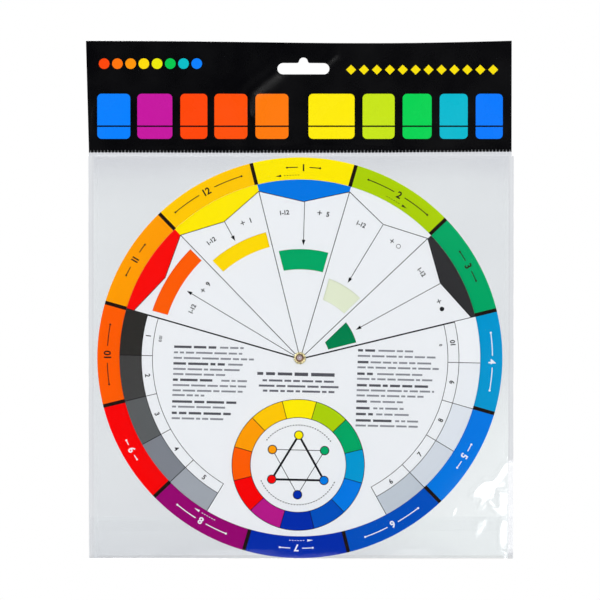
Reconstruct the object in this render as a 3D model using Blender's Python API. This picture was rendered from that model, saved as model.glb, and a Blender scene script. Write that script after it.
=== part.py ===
"""A colour mixing wheel in its retail bag, hanging by the slot in the bag's header.

Metres, with +Z up and the front of the wheel facing -Y. The origin is the peg
notch at the top of the hang slot, midway between the header's two sheets. The
wheel is a printed board disc with a windowed dial in front and a smaller dial
behind, held by one eyelet. The bag is two clear films, welded at both sides and
under a printed header, and closed below by a flap with an adhesive strip.
"""

import math

import bmesh
import bpy

# Wheel board and its two dials
WHEEL_RADIUS = 0.1175
BOARD_THICKNESS = 0.0006
RING_WIDTH = 0.0129
REAR_RING_WIDTH = 0.0475
DIAL_THICKNESS = 0.0004
DIAL_PLAY = 0.00015
WHEEL_TURN = math.radians(1.1)
DIAL_TURN = math.radians(0.7)
DISC_SEGMENTS = 180

# Windows of the front dial, one to each 30 degree wedge, from the left one on.
# Each pair gives the inner and outer edge as shares of the dial's radius.
WINDOW_EDGE_SHARES = (
    (0.771, 0.860),
    (0.644, 0.730),
    (0.497, 0.611),
    (0.350, 0.474),
    (0.164, 0.325),
)
FIRST_WEDGE_TOP = math.radians(165)
WEDGE_ANGLE = math.radians(30)
WINDOW_UPPER_GAP = 0.0036
WINDOW_LOWER_GAP = 0.0008
WINDOW_STEPS = 8

# Eyelet
BORE_RADIUS = 0.0022
BARREL_WALL = 0.0003
BARREL_PLAY = 0.00008
FLANGE_WIDTH = 0.0011
FLANGE_HEIGHT = 0.0007
PETAL_DEPTH = 0.00016
PETAL_COUNT = 8
EYELET_SEGMENTS = 48
FLANGE_STEPS = 8
SMOOTH_ANGLE = math.radians(30)

# Film bag
FILM_THICKNESS = 0.0001
SEAM_WIDTH = 0.0029
SEAM_THICKNESS = 0.0002
SEAM_LIFT = 0.0001
PART_GAP = 0.0002
FILM_ROOM = 0.00032
SIDE_ROOM = 0.0028
TOP_ROOM = 0.0008
BOTTOM_ROOM = 0.0004
WHEEL_SHIFT = -0.0007
EDGE_REACH = 0.0007
CROWN_REACH = 0.028
EDGE_ROOM = 0.0003
BOTTOM_LIFT_SHARE = 0.9
FILM_GRID_SHARES = (0.0, 0.006, 0.014, 0.035, 0.08, 0.16, 0.27, 0.39)

# Closing flap at the bottom of the bag
FLAP_HEIGHT = 0.0246
FLAP_INSET = 0.0006
FLAP_GAP = 0.00035
STRIP_HEIGHT = 0.006
STRIP_EDGE = 0.0025
STRIP_THICKNESS = 0.00015
STRIP_GAP = 0.0001
FLAP_ROW_SHARES = (0.0, 0.05, 0.13, 0.33, 0.65, 1.0)

# Printed header and its crimped weld
HEADER_SHEET = 0.0002
HEADER_SPLIT = 0.0001
HEADER_ABOVE_NOTCH = 0.0098
HEADER_BELOW_NOTCH = 0.0533
HEADER_LEFT_INSET = 0.0003
HEADER_RIGHT_INSET = 0.0013
HEADER_FLARE = 0.0016
HEADER_SAG = 0.0014
SAG_SKEW = 1.7
SAG_STEPS = 24
WELD_HEIGHT = 0.0042
WELD_PITCH = 0.002
WELD_THICKNESS = 0.0002
WELD_RIDGE = 0.00025
WELD_RIDGE_SHARE = 0.3

# Hang slot
SLOT_SHIFT = 0.00135
SLOT_WIDTH = 0.0301
SLOT_HEIGHT = 0.0066
NOTCH_RISE = 0.0032
NOTCH_RADIUS = 0.0026
NOTCH_FILLET = 0.0012
SLOT_STEPS = 10

# Places that follow from the sizes above
FRONT_DIAL_RADIUS = WHEEL_RADIUS - RING_WIDTH
REAR_DIAL_RADIUS = WHEEL_RADIUS - REAR_RING_WIDTH
BARREL_RADIUS = BORE_RADIUS + BARREL_WALL
DISC_BORE_RADIUS = BARREL_RADIUS + BARREL_PLAY
BOARD_FACE = BOARD_THICKNESS / 2
DIAL_INNER_FACE = BOARD_FACE + DIAL_PLAY
DIAL_FACE = DIAL_INNER_FACE + DIAL_THICKNESS
FLANGE_SEAT = DIAL_FACE + DIAL_PLAY
FLANGE_TOP = FLANGE_SEAT + FLANGE_HEIGHT

BAG_CENTRE = -SLOT_SHIFT
BAG_HALF_INNER = WHEEL_RADIUS + SIDE_ROOM
BAG_HALF_WIDTH = BAG_HALF_INNER + SEAM_WIDTH
WELD_TOP = -HEADER_BELOW_NOTCH
WELD_BOTTOM = WELD_TOP - WELD_HEIGHT
WHEEL_X = BAG_CENTRE + WHEEL_SHIFT
WHEEL_Z = WELD_BOTTOM - TOP_ROOM - WHEEL_RADIUS
FOLD_Z = WHEEL_Z - WHEEL_RADIUS - BOTTOM_ROOM
FILM_TOP = WELD_BOTTOM - PART_GAP / 2
FILM_BOTTOM = FOLD_Z + PART_GAP
EDGE_LIFT = BOARD_FACE + EDGE_ROOM
CROWN_LIFT = FLANGE_TOP + FILM_ROOM - SEAM_LIFT


def clear_scene():
    for existing in list(bpy.data.objects):
        bpy.data.objects.remove(existing, do_unlink=True)


def finish_of(name, colour, roughness, metallic=0.0, alpha=1.0):
    material = bpy.data.materials.new(name)
    material.use_nodes = True
    shader = material.node_tree.nodes["Principled BSDF"]
    shader.inputs["Base Color"].default_value = (*colour, 1.0)
    shader.inputs["Roughness"].default_value = roughness
    shader.inputs["Metallic"].default_value = metallic
    shader.inputs["Alpha"].default_value = alpha
    return material


def anchor(name, location):
    """An empty that carries the pieces which move or hang together."""
    empty = bpy.data.objects.new(name, None)
    empty.location = location
    bpy.context.scene.collection.objects.link(empty)
    return empty


def add_piece(name, shape, material, parent):
    """Turns a bmesh into a named object under an empty."""
    mesh = bpy.data.meshes.new(name)
    shape.to_mesh(mesh)
    shape.free()
    mesh.materials.append(material)
    piece = bpy.data.objects.new(name, mesh)
    piece.parent = parent
    bpy.context.scene.collection.objects.link(piece)
    return piece


def arc(centre, radius, start, end, steps):
    """Points (x, z) from the angle start to the angle end, both ends included."""
    angles = [start + (end - start) * step / steps for step in range(steps + 1)]
    return [(centre[0] + radius * math.cos(a), centre[1] + radius * math.sin(a)) for a in angles]


def circle(radius, segments):
    return arc((0, 0), radius, 0, math.tau * (segments - 1) / segments, segments - 1)


def die_cut(outline, holes, front, back):
    """A flat sheet with holes, between the planes y = front and y = back."""
    shape = bmesh.new()
    edges = []
    for loop in (outline, *holes):
        corners = [shape.verts.new((x, back, z)) for x, z in loop]
        edges += [shape.edges.new((corners[i - 1], corner)) for i, corner in enumerate(corners)]
    bmesh.ops.triangle_fill(shape, edges=edges, use_beauty=True, use_dissolve=False)
    made = bmesh.ops.extrude_face_region(shape, geom=shape.faces[:])
    moved = [part for part in made["geom"] if isinstance(part, bmesh.types.BMVert)]
    bmesh.ops.translate(shape, verts=moved, vec=(0, front - back, 0))
    bmesh.ops.recalc_face_normals(shape, faces=shape.faces[:])
    return shape


def skin(near, far):
    """Closes the space between two grids of points, each a list of equal rows."""
    shape = bmesh.new()
    grids = [[[shape.verts.new(point) for point in row] for row in grid] for grid in (near, far)]
    last_row = len(near) - 1
    last_column = len(near[0]) - 1
    for grid in grids:
        for row in range(last_row):
            for column in range(last_column):
                low, high = grid[row], grid[row + 1]
                shape.faces.new((low[column], low[column + 1], high[column + 1], high[column]))
    one, two = grids
    for row in range(last_row):
        for column in (0, last_column):
            shape.faces.new((one[row][column], one[row + 1][column],
                             two[row + 1][column], two[row][column]))
    for column in range(last_column):
        for row in (0, last_row):
            shape.faces.new((one[row][column], one[row][column + 1],
                             two[row][column + 1], two[row][column]))
    bmesh.ops.recalc_face_normals(shape, faces=shape.faces[:])
    return shape


def rise(distance, reach):
    """How far a taut film has risen at this distance from its seam, from 0 to 1."""
    return 1 - math.exp(-max(distance, 0) / reach)


def film_lift(x, z):
    """Distance of the film's inner face from the mid-plane of the bag."""
    side = BAG_HALF_INNER - abs(x - BAG_CENTRE)
    top = FILM_TOP - z
    bottom = z - FILM_BOTTOM
    fold = BOTTOM_LIFT_SHARE + (1 - BOTTOM_LIFT_SHARE) * rise(bottom, EDGE_REACH)
    edge = rise(side, EDGE_REACH) * rise(top, EDGE_REACH) * fold
    crown = rise(side, CROWN_REACH) * rise(top, CROWN_REACH) * rise(bottom, CROWN_REACH)
    half_height = (FILM_TOP - FILM_BOTTOM) / 2
    peak = rise(BAG_HALF_INNER, CROWN_REACH) * rise(half_height, CROWN_REACH) ** 2
    return SEAM_LIFT + EDGE_LIFT * edge + (CROWN_LIFT - EDGE_LIFT) * crown / peak


def grid_stations(low, high):
    """Places between low and high, close together near both ends."""
    span = high - low
    near = [low + span * share for share in FILM_GRID_SHARES]
    far = [high - span * share for share in reversed(FILM_GRID_SHARES)]
    return [*near, (low + high) / 2, *far]


def film_columns():
    reach = BAG_HALF_INNER - PART_GAP / 2
    return grid_stations(BAG_CENTRE - reach, BAG_CENTRE + reach)


def lifted(columns, rows, side, offset):
    """A grid on the film's shape, offset outward from its inner face."""
    return [[(x, side * (film_lift(x, z) + offset), z) for x in columns] for z in rows]


def build_header(bag):
    outline = header_outline()
    slot = hang_slot()
    inner = HEADER_SPLIT / 2
    outer = inner + HEADER_SHEET
    for name, side in (("header_front", -1), ("header_back", 1)):
        printed = finish_of(name, (0.012, 0.011, 0.013), 0.22)
        add_piece(name, die_cut(outline, [slot], side * outer, side * inner), printed, bag)


def header_outline():
    left = BAG_CENTRE - BAG_HALF_WIDTH + HEADER_LEFT_INSET
    right = BAG_CENTRE + BAG_HALF_WIDTH - HEADER_RIGHT_INSET
    points = [(right, WELD_TOP), (left, WELD_TOP)]
    for step in range(SAG_STEPS + 1):
        share = step / SAG_STEPS
        x = (left - HEADER_FLARE) * (1 - share) + right * share
        points.append((x, HEADER_ABOVE_NOTCH - HEADER_SAG * math.sin(math.pi * share**SAG_SKEW)))
    return points


def hang_slot():
    """A long slot with round ends and a filleted peg notch in its upper edge."""
    end_radius = SLOT_HEIGHT / 2
    middle = -NOTCH_RISE - end_radius
    reach = SLOT_WIDTH / 2 - end_radius
    rise_to_fillet = NOTCH_RADIUS - NOTCH_RISE + NOTCH_FILLET
    spread = math.sqrt((NOTCH_RADIUS + NOTCH_FILLET) ** 2 - rise_to_fillet**2)
    lean = math.atan2(rise_to_fillet, spread)
    fillet_z = -NOTCH_RISE + NOTCH_FILLET
    quarter = math.pi / 2
    points = arc((reach, middle), end_radius, -quarter, quarter, SLOT_STEPS)
    points += arc((spread, fillet_z), NOTCH_FILLET, -quarter, -math.pi + lean, SLOT_STEPS // 2)[:-1]
    points += arc((0, -NOTCH_RADIUS), NOTCH_RADIUS, lean, math.pi - lean, SLOT_STEPS)
    points += arc((-spread, fillet_z), NOTCH_FILLET, -lean, -quarter, SLOT_STEPS // 2)[1:]
    points += arc((-reach, middle), end_radius, quarter, 3 * quarter, SLOT_STEPS)
    return points


def build_weld(bag):
    """The crimped weld: a strip folded into even upright ridges by the heat jaws."""
    left = BAG_CENTRE - BAG_HALF_WIDTH + HEADER_LEFT_INSET
    right = BAG_CENTRE + BAG_HALF_WIDTH - HEADER_RIGHT_INSET
    count = int((right - left) / WELD_PITCH)
    pitch = (right - left) / count
    line = [(left, 0)]
    for ridge in range(count):
        foot = left + pitch * ridge
        line.append((foot + pitch * WELD_RIDGE_SHARE, 0))
        line.append((foot + pitch / 2, WELD_RIDGE))
        line.append((foot + pitch - pitch * WELD_RIDGE_SHARE, 0))
    line.append((right, 0))
    half = WELD_THICKNESS / 2
    levels = (WELD_BOTTOM, WELD_TOP - PART_GAP / 2)
    near = [[(x, -half - ridge, z) for x, ridge in line] for z in levels]
    far = [[(x, half - ridge, z) for x, ridge in line] for z in levels]
    clear = finish_of("weld_band", (0.5, 0.51, 0.53), 0.3, alpha=0.55)
    add_piece("weld_band", skin(near, far), clear, bag)


def build_films(bag):
    columns = film_columns()
    rows = grid_stations(FILM_BOTTOM, FILM_TOP)
    for name, side in (("front_film", -1), ("back_film", 1)):
        clear = finish_of(name, (0.86, 0.88, 0.9), 0.12, alpha=0.2)
        near = lifted(columns, rows, side, 0)
        far = lifted(columns, rows, side, FILM_THICKNESS)
        add_piece(name, skin(near, far), clear, bag)


def build_seams(bag):
    half = SEAM_THICKNESS / 2
    for name, side in (("left_weld", -1), ("right_weld", 1)):
        inner = BAG_CENTRE + side * BAG_HALF_INNER
        outer = BAG_CENTRE + side * BAG_HALF_WIDTH
        outline = [(inner, FILM_BOTTOM), (outer, FILM_BOTTOM), (outer, FILM_TOP), (inner, FILM_TOP)]
        clear = finish_of(name, (0.82, 0.84, 0.86), 0.2, alpha=0.35)
        add_piece(name, die_cut(outline, [], -half, half), clear, bag)


def build_flap(hinge):
    """The flap runs under the bag from the front film and up behind the back film."""
    reach = BAG_HALF_WIDTH - FLAP_INSET
    columns = [BAG_CENTRE - reach, *film_columns(), BAG_CENTRE + reach]
    floor = FOLD_Z - FILM_THICKNESS
    offset = FILM_THICKNESS + FLAP_GAP
    front = -film_lift(BAG_CENTRE, FILM_BOTTOM) - FILM_THICKNESS
    back = [film_lift(x, FILM_BOTTOM) + offset + FILM_THICKNESS for x in columns]
    under = [[(x, front, floor) for x in columns], [(x, y, floor) for x, y in zip(columns, back)]]
    above = [[(x, y, z + FILM_THICKNESS) for x, y, z in row] for row in under]
    clear = finish_of("flap_crease", (0.8, 0.82, 0.84), 0.2, alpha=0.4)
    place(add_piece("flap_crease", skin(under, above), clear, hinge))

    foot = FOLD_Z + PART_GAP / 2
    rows = [foot + (FOLD_Z + FLAP_HEIGHT - foot) * share for share in FLAP_ROW_SHARES]
    near = lifted(columns, rows, 1, offset)
    far = lifted(columns, rows, 1, offset + FILM_THICKNESS)
    clear = finish_of("closing_flap", (0.86, 0.88, 0.9), 0.15, alpha=0.25)
    place(add_piece("closing_flap", skin(near, far), clear, hinge))

    top = FOLD_Z + FLAP_HEIGHT - STRIP_EDGE
    rows = [top - STRIP_HEIGHT, top]
    near = lifted(columns, rows, 1, FILM_THICKNESS + STRIP_GAP)
    far = lifted(columns, rows, 1, FILM_THICKNESS + STRIP_GAP + STRIP_THICKNESS)
    tacky = finish_of("adhesive_strip", (0.78, 0.79, 0.78), 0.4, alpha=0.45)
    place(add_piece("adhesive_strip", skin(near, far), tacky, hinge))


def place(piece):
    """Keeps a piece where its points say, with its origin at its parent."""
    piece.data.transform(piece.parent.matrix_basis.inverted())


def build_wheel(pivot):
    disc_bore = circle(DISC_BORE_RADIUS, EYELET_SEGMENTS)
    board = die_cut(circle(WHEEL_RADIUS, DISC_SEGMENTS), [disc_bore], -BOARD_FACE, BOARD_FACE)
    base = add_piece("base_disc", board, finish_of("base_disc", (0.8, 0.55, 0.1), 0.35), pivot)
    base.rotation_euler.y = WHEEL_TURN

    brass = finish_of("eyelet", (0.75, 0.6, 0.28), 0.28, metallic=1.0)
    eyelet = add_piece("eyelet", eyelet_shape(), brass, pivot)
    eyelet.data.shade_smooth()
    eyelet.data.set_sharp_from_angle(angle=SMOOTH_ANGLE)

    holes = [disc_bore, *windows()]
    card = die_cut(circle(FRONT_DIAL_RADIUS, DISC_SEGMENTS), holes, -DIAL_FACE, -DIAL_INNER_FACE)
    dial = add_piece("front_dial", card, finish_of("front_dial", (0.85, 0.87, 0.9), 0.4), pivot)
    dial.rotation_euler.y = DIAL_TURN

    card = die_cut(circle(REAR_DIAL_RADIUS, DISC_SEGMENTS), [disc_bore], DIAL_INNER_FACE, DIAL_FACE)
    add_piece("rear_dial", card, finish_of("rear_dial", (0.83, 0.85, 0.88), 0.4), pivot)


def windows():
    """One opening in each wedge, with sides parallel to the wedge's two lines."""
    openings = []
    for wedge, (inner_share, outer_share) in enumerate(WINDOW_EDGE_SHARES):
        upper = FIRST_WEDGE_TOP - WEDGE_ANGLE * wedge
        lower = upper - WEDGE_ANGLE
        inner = FRONT_DIAL_RADIUS * inner_share
        outer = FRONT_DIAL_RADIUS * outer_share
        outer_ends = window_ends(outer, upper, lower)
        inner_ends = window_ends(inner, upper, lower)
        far_edge = arc((0, 0), outer, *outer_ends, WINDOW_STEPS)
        near_edge = arc((0, 0), inner, *reversed(inner_ends), WINDOW_STEPS)
        openings.append(far_edge + near_edge)
    return openings


def window_ends(radius, upper, lower):
    """The two angles where a window's sides cross a circle."""
    return upper - math.asin(WINDOW_UPPER_GAP / radius), lower + math.asin(WINDOW_LOWER_GAP / radius)


def eyelet_shape():
    """A turned barrel with a rolled flange at each end, the front one in petals."""
    profile = [*flange(-1), *reversed(flange(1))]
    shape = bmesh.new()
    rings = [[shape.verts.new(petalled(r, y, k)) for k in range(EYELET_SEGMENTS)] for r, y in profile]
    for index, ring in enumerate(rings):
        last = rings[index - 1]
        for k in range(EYELET_SEGMENTS):
            shape.faces.new((last[k - 1], last[k], ring[k], ring[k - 1]))
    bmesh.ops.recalc_face_normals(shape, faces=shape.faces[:])
    return shape


def flange(side):
    """Half of the eyelet's section, from the bore over the roll to the barrel."""
    middle = BORE_RADIUS + (BARREL_WALL + FLANGE_WIDTH) / 2
    width = middle - BORE_RADIUS
    angles = [math.pi * (1 - step / FLANGE_STEPS) for step in range(FLANGE_STEPS + 1)]
    roll = [(middle + width * math.cos(a), FLANGE_SEAT + FLANGE_HEIGHT * math.sin(a)) for a in angles]
    return [(radius, side * y) for radius, y in [*roll, (BARREL_RADIUS, FLANGE_SEAT)]]


def petalled(radius, y, segment):
    """A point of the eyelet, pushed in between the petals of the front flange."""
    angle = math.tau * segment / EYELET_SEGMENTS
    if y < 0:
        share = max(radius - BARREL_RADIUS, 0) / FLANGE_WIDTH
        radius -= PETAL_DEPTH * share * (1 - math.cos(PETAL_COUNT * angle)) / 2
    return radius * math.cos(angle), y, radius * math.sin(angle)


def main():
    clear_scene()
    bag = anchor("bag_anchor", (0, 0, 0))
    build_header(bag)
    build_weld(bag)
    build_films(bag)
    build_seams(bag)
    front_edge = -film_lift(BAG_CENTRE, FILM_BOTTOM) - FILM_THICKNESS
    build_flap(anchor("flap_hinge", (BAG_CENTRE, front_edge, FOLD_Z - FILM_THICKNESS / 2)))
    build_wheel(anchor("wheel_pivot", (WHEEL_X, 0, WHEEL_Z)))


main()
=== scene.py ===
import math
import random

import bpy
import numpy as np
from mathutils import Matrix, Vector, geometry


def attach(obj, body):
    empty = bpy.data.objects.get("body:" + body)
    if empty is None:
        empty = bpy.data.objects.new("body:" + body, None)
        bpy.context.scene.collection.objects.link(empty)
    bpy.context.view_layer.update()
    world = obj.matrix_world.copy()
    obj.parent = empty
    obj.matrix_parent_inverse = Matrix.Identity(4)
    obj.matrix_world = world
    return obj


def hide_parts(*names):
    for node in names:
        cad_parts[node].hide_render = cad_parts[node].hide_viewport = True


# Colour mixing wheel in its header bag: print, board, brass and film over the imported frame.
# Camera and studio are in metres, and the pieces in millimetres unless a note says otherwise.
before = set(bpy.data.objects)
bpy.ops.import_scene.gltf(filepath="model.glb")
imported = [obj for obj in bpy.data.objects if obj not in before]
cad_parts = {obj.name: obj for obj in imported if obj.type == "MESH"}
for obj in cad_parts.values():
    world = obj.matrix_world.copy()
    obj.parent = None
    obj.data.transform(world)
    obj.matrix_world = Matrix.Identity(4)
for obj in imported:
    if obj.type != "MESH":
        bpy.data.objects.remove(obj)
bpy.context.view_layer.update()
print("frame loaded")

scene = bpy.context.scene
scene.view_settings.view_transform = "Standard"

mm = 0.001
wheelX, wheelZ = -0.00205, -0.1758  # where the eyelet stands, in metres
wheelLean, dialLean = -1.1, -0.7  # degrees, how the wheel and its front dial lie in the bag
pxMm = 0.5828  # the front dial is laid out on a grid of this many millimetres
white = (1, 1, 1, 1)
quarters = (0, 90, 180, 270)


def meshPiece(name, points, faces):
    mesh = bpy.data.meshes.new(name)
    mesh.from_pydata([tuple(p) for p in points], [], [tuple(f) for f in faces])
    mesh.update()
    piece = bpy.data.objects.new(name, mesh)
    scene.collection.objects.link(piece)
    return piece


def smoothed(piece, degrees=50):
    piece.data.shade_smooth()
    piece.data.set_sharp_from_angle(angle=math.radians(degrees))


def coat(piece, *paints):
    for paint in paints:
        piece.data.materials.append(inks[paint])


def dress(piece, body, *nodes, slot):
    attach(piece, body)
    if nodes:
        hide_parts(*nodes)


# Nodes: each socket takes a plain value or another node's output.
def wire(tree, made, sockets):
    for socket, value in sockets.items():
        if isinstance(value, bpy.types.NodeSocket):
            tree.links.new(value, made.inputs[socket])
        else:
            made.inputs[socket].default_value = value
    return made


def addNode(tree, kind, sockets=(), **traits):
    made = tree.nodes.new(kind)
    for trait, value in traits.items():
        setattr(made, trait, value)
    return wire(tree, made, dict(sockets))


def calculated(tree, operation, first, second, clamp=False):
    made = {0: first, 1: second}
    return addNode(tree, "ShaderNodeMath", made, operation=operation, use_clamp=clamp).outputs[0]


def ranged(tree, source, start, end, low, high):
    span = {"From Min": start, "From Max": end, "To Min": low, "To Max": high, "Value": source}
    return addNode(tree, "ShaderNodeMapRange", span).outputs["Result"]


def cloudy(tree, scale, detail, roughness=0.5):
    # noise over the piece's own coordinates
    place = addNode(tree, "ShaderNodeTexCoord").outputs["Object"]
    noise = {"Scale": scale, "Detail": detail, "Roughness": roughness, "Vector": place}
    return addNode(tree, "ShaderNodeTexNoise", noise).outputs["Fac"]


def mixedColour(tree, share, one, other):
    ends = {"Factor": share, "A": (*one, 1), "B": (*other, 1)}
    return addNode(tree, "ShaderNodeMix", ends, data_type="RGBA").outputs["Result"]


def mixedShader(tree, share, one, other):
    return addNode(tree, "ShaderNodeMixShader", {0: share, 1: one.outputs[0], 2: other.outputs[0]})


def newFinish(name):
    finish = bpy.data.materials.new(name)
    finish.use_nodes = True
    return finish, finish.node_tree


# Camera, studio and floor.
camera = {"distance": 12.0, "elevation": 8.35, "lens": 1242, "sensor": 36,
          "aim": (-0.00197, 0.0, -0.14185)}


def makeCamera():
    data = bpy.data.cameras.new("photoCamera")
    data.lens, data.sensor_width = camera["lens"], camera["sensor"]
    view = bpy.data.objects.new("photoCamera", data)
    lean = math.radians(camera["elevation"])
    back = Vector((0, -math.cos(lean), math.sin(lean))) * camera["distance"]
    view.location = Vector(camera["aim"]) + back
    view.rotation_euler = (math.pi / 2 - lean, 0, 0)
    scene.collection.objects.link(view)
    scene.camera = view


studio = {
    "world": 0.25,
    "boxes": {
        # place, aim, size, power
        "keyBox": ((-1.05, -1.15, 0.55), (0, 0, -0.18), 1.0, 14.6),
        "fillBox": ((1.12, -1.10, 0.50), (0, 0, -0.18), 1.0, 11.7),
        "glareBox": ((0.579, -2.10, -0.847), (0.11, 0, -0.25), 0.36, 4.6),
        "rearBox": ((-0.55, 1.45, 0.50), (0, 0, -0.18), 1.1, 26.0),
    },
    "floor": {"level": -0.50, "front": -0.74, "back": 0.70, "half": 1.1, "tone": 0.74},
    "flag": {"distance": 3.2, "drop": 0.65, "half": 2.3, "tone": 0.004},
}


def makeWorld():
    # white to the eye and in reflections, softer as a light
    world = bpy.data.worlds.new("studioWorld")
    world.use_nodes = True
    tree = world.node_tree
    tree.nodes.clear()
    soft = addNode(tree, "ShaderNodeBackground", {"Color": white, "Strength": studio["world"]})
    bright = addNode(tree, "ShaderNodeBackground", {"Color": white, "Strength": 1.0})
    rays = addNode(tree, "ShaderNodeLightPath").outputs
    seen = rays["Is Camera Ray"]
    for kind in ("Is Glossy Ray", "Is Transmission Ray"):
        seen = calculated(tree, "MAXIMUM", seen, rays[kind])
    both = mixedShader(tree, seen, soft, bright)
    addNode(tree, "ShaderNodeOutputWorld", {"Surface": both.outputs[0]})
    scene.world = world


def rectangle(half, low, high):
    return (-half, low), (half, low), (half, high), (-half, high)


def stagedSheet(name, corners, order, finishName, tone):
    sheet = meshPiece(name, corners, [order])
    finish, tree = newFinish(finishName)
    tree.nodes.clear()
    shader = addNode(tree, "ShaderNodeBsdfDiffuse", {"Color": (tone, tone, tone, 1)})
    addNode(tree, "ShaderNodeOutputMaterial", {"Surface": shader.outputs[0]})
    sheet.data.materials.append(finish)
    return sheet


def makeStudio():
    for name, (place, aim, size, power) in studio["boxes"].items():
        lamp = bpy.data.lights.new(name, "AREA")
        lamp.shape = "DISK" if name == "glareBox" else "SQUARE"
        lamp.size, lamp.energy = size, power
        box = bpy.data.objects.new(name, lamp)
        box.location = place
        box.rotation_euler = (Vector(place) - Vector(aim)).to_track_quat("Z", "Y").to_euler()
        box.visible_camera = False
        scene.collection.objects.link(box)
    flat = studio["floor"]
    corners = rectangle(flat["half"], flat["front"], flat["back"])
    corners = [(x, y, flat["level"]) for x, y in corners]
    floor = stagedSheet("paleFloor", corners, (0, 1, 2, 3), "floorPaper", flat["tone"])
    # a black flag behind the camera keeps its side of the room out of the gloss
    dark = studio["flag"]
    spread, low = dark["half"], wheelZ - dark["drop"]
    corners = [(x, -dark["distance"], z) for x, z in rectangle(spread, low - spread, low + spread)]
    flag = stagedSheet("blackFlag", corners, (3, 2, 1, 0), "flagCloth", dark["tone"])
    flag.visible_camera = flag.visible_diffuse = flag.visible_shadow = False


# Finishes of print and board.
def linear(colour):
    parts = [c / 255 for c in colour]
    return tuple(c / 12.92 if c <= 0.04045 else ((c + 0.055) / 1.055) ** 2.4 for c in parts)


def screenColour(light):
    parts = [12.92 * c if c <= 0.0031308 else 1.055 * c ** (1 / 2.4) - 0.055 for c in light]
    return tuple(255 * c for c in parts)


grains = {
    # roughness low and high, bump height in metres, grains and speckles per metre, specular level
    "boardVarnish": (0.34, 0.46, 0.000012, 1500, 5200, 0.03),
    "dialVarnish": (0.40, 0.55, 0.000010, 1900, 6400, 0.03),
    "filmPrint": (0.23, 0.32, 0.000004, 260, 2600, 0.22),
    "boardCore": (0.75, 0.95, 0.000040, 2600, 9000, 0.03),
}
grainsPerCloud = 6
cloudSpan = (0.3, 0.7)  # the part of a noise's range that its clouds use
grainGroups, inks = {}, {}


def grainGroup(kind):
    # one shared group for each sort of sheet: cloudy roughness and a fine fibre bump
    if kind in grainGroups:
        return grainGroups[kind]
    low, high, height, grain, speckle, _ = grains[kind]
    group = bpy.data.node_groups.new(kind, "ShaderNodeTree")
    for name, sort in (("Roughness", "NodeSocketFloat"), ("Normal", "NodeSocketVector")):
        group.interface.new_socket(name, in_out="OUTPUT", socket_type=sort)
    rough = ranged(group, cloudy(group, grain / grainsPerCloud, 4), *cloudSpan, low, high)
    fibres = cloudy(group, speckle, 3, 0.65)
    bump = addNode(group, "ShaderNodeBump", {"Strength": 0.5, "Distance": height, "Height": fibres})
    addNode(group, "NodeGroupOutput", {"Roughness": rough, "Normal": bump.outputs["Normal"]})
    grainGroups[kind] = group
    return group


def ink(name, colour, kind):
    # a printed or bare surface of one colour; its finish comes from the sheet under it
    if name not in inks:
        inks[name], tree = newFinish(name)
        sheet = addNode(tree, "ShaderNodeGroup", node_tree=grainGroup(kind))
        wire(tree, tree.nodes["Principled BSDF"], {
            "Base Color": (*linear(colour), 1), "Specular IOR Level": grains[kind][-1],
            "Roughness": sheet.outputs["Roughness"], "Normal": sheet.outputs["Normal"],
        })
    return name


def inkSet(kind, **colours):
    for name, colour in colours.items():
        ink(name, colour, kind)


# Drawing on a sheet: shapes are (ink, points in mm), and later ones print over earlier ones.
def polar(radius, degrees):
    return radius * math.cos(math.radians(degrees)), radius * math.sin(math.radians(degrees))


def arcPoints(radius, start, end, centre=(0, 0), step=1.5):
    count = max(1, round(abs(end - start) / step))
    spots = [polar(radius, start + (end - start) * i / count) for i in range(count + 1)]
    return [(centre[0] + x, centre[1] + y) for x, y in spots]


def disc(radius, centre=(0, 0), step=1.5):
    return arcPoints(radius, 0, 360 - step, centre, step)


def sector(inner, outer, start, end, step=1.5):
    return arcPoints(outer, start, end, step=step) + arcPoints(inner, end, start, step=step)


def circleLine(paint, radius, half, step=1.5):
    return [(paint, sector(radius - half, radius + half, a, a + 90, step)) for a in quarters]


def bar(a, b, width):
    # a line of this width between two points
    dx, dy = b[0] - a[0], b[1] - a[1]
    size = math.hypot(dx, dy)
    nx, ny = -dy / size * width / 2, dx / size * width / 2
    return [(x + side * nx, y + side * ny) for (x, y), side in ((a, 1), (a, -1), (b, -1), (b, 1))]


def spoke(inner, outer, degrees, width):
    return bar(polar(inner, degrees), polar(outer, degrees), width)


def arrowShapes(paint, a, b, width, head):
    # a line from a with a slim head whose tip is at b
    dx, dy = b[0] - a[0], b[1] - a[1]
    size = math.hypot(dx, dy)
    ux, uy = dx / size, dy / size
    neck = (b[0] - ux * head, b[1] - uy * head)
    wing = head * 0.33
    tip = [b, (neck[0] - uy * wing, neck[1] + ux * wing), (neck[0] + uy * wing, neck[1] - ux * wing)]
    under = (b[0] - ux * head * 0.9, b[1] - uy * head * 0.9)  # the line ends inside its head
    return [(paint, bar(a, under, width)), (paint, tip)]


def moved(shapes, way):
    return [(paint, [way(x, y) for x, y in points]) for paint, points in shapes]


def turned(shapes, degrees):
    cos, sin = math.cos(math.radians(degrees)), math.sin(math.radians(degrees))
    return moved(shapes, lambda x, y: (x * cos - y * sin, x * sin + y * cos))


def shifted(shapes, across, up):
    return moved(shapes, lambda x, y: (x + across, y + up))


glyphs = {}
numeralGap = 0.16  # between two numerals, in heights


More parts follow.
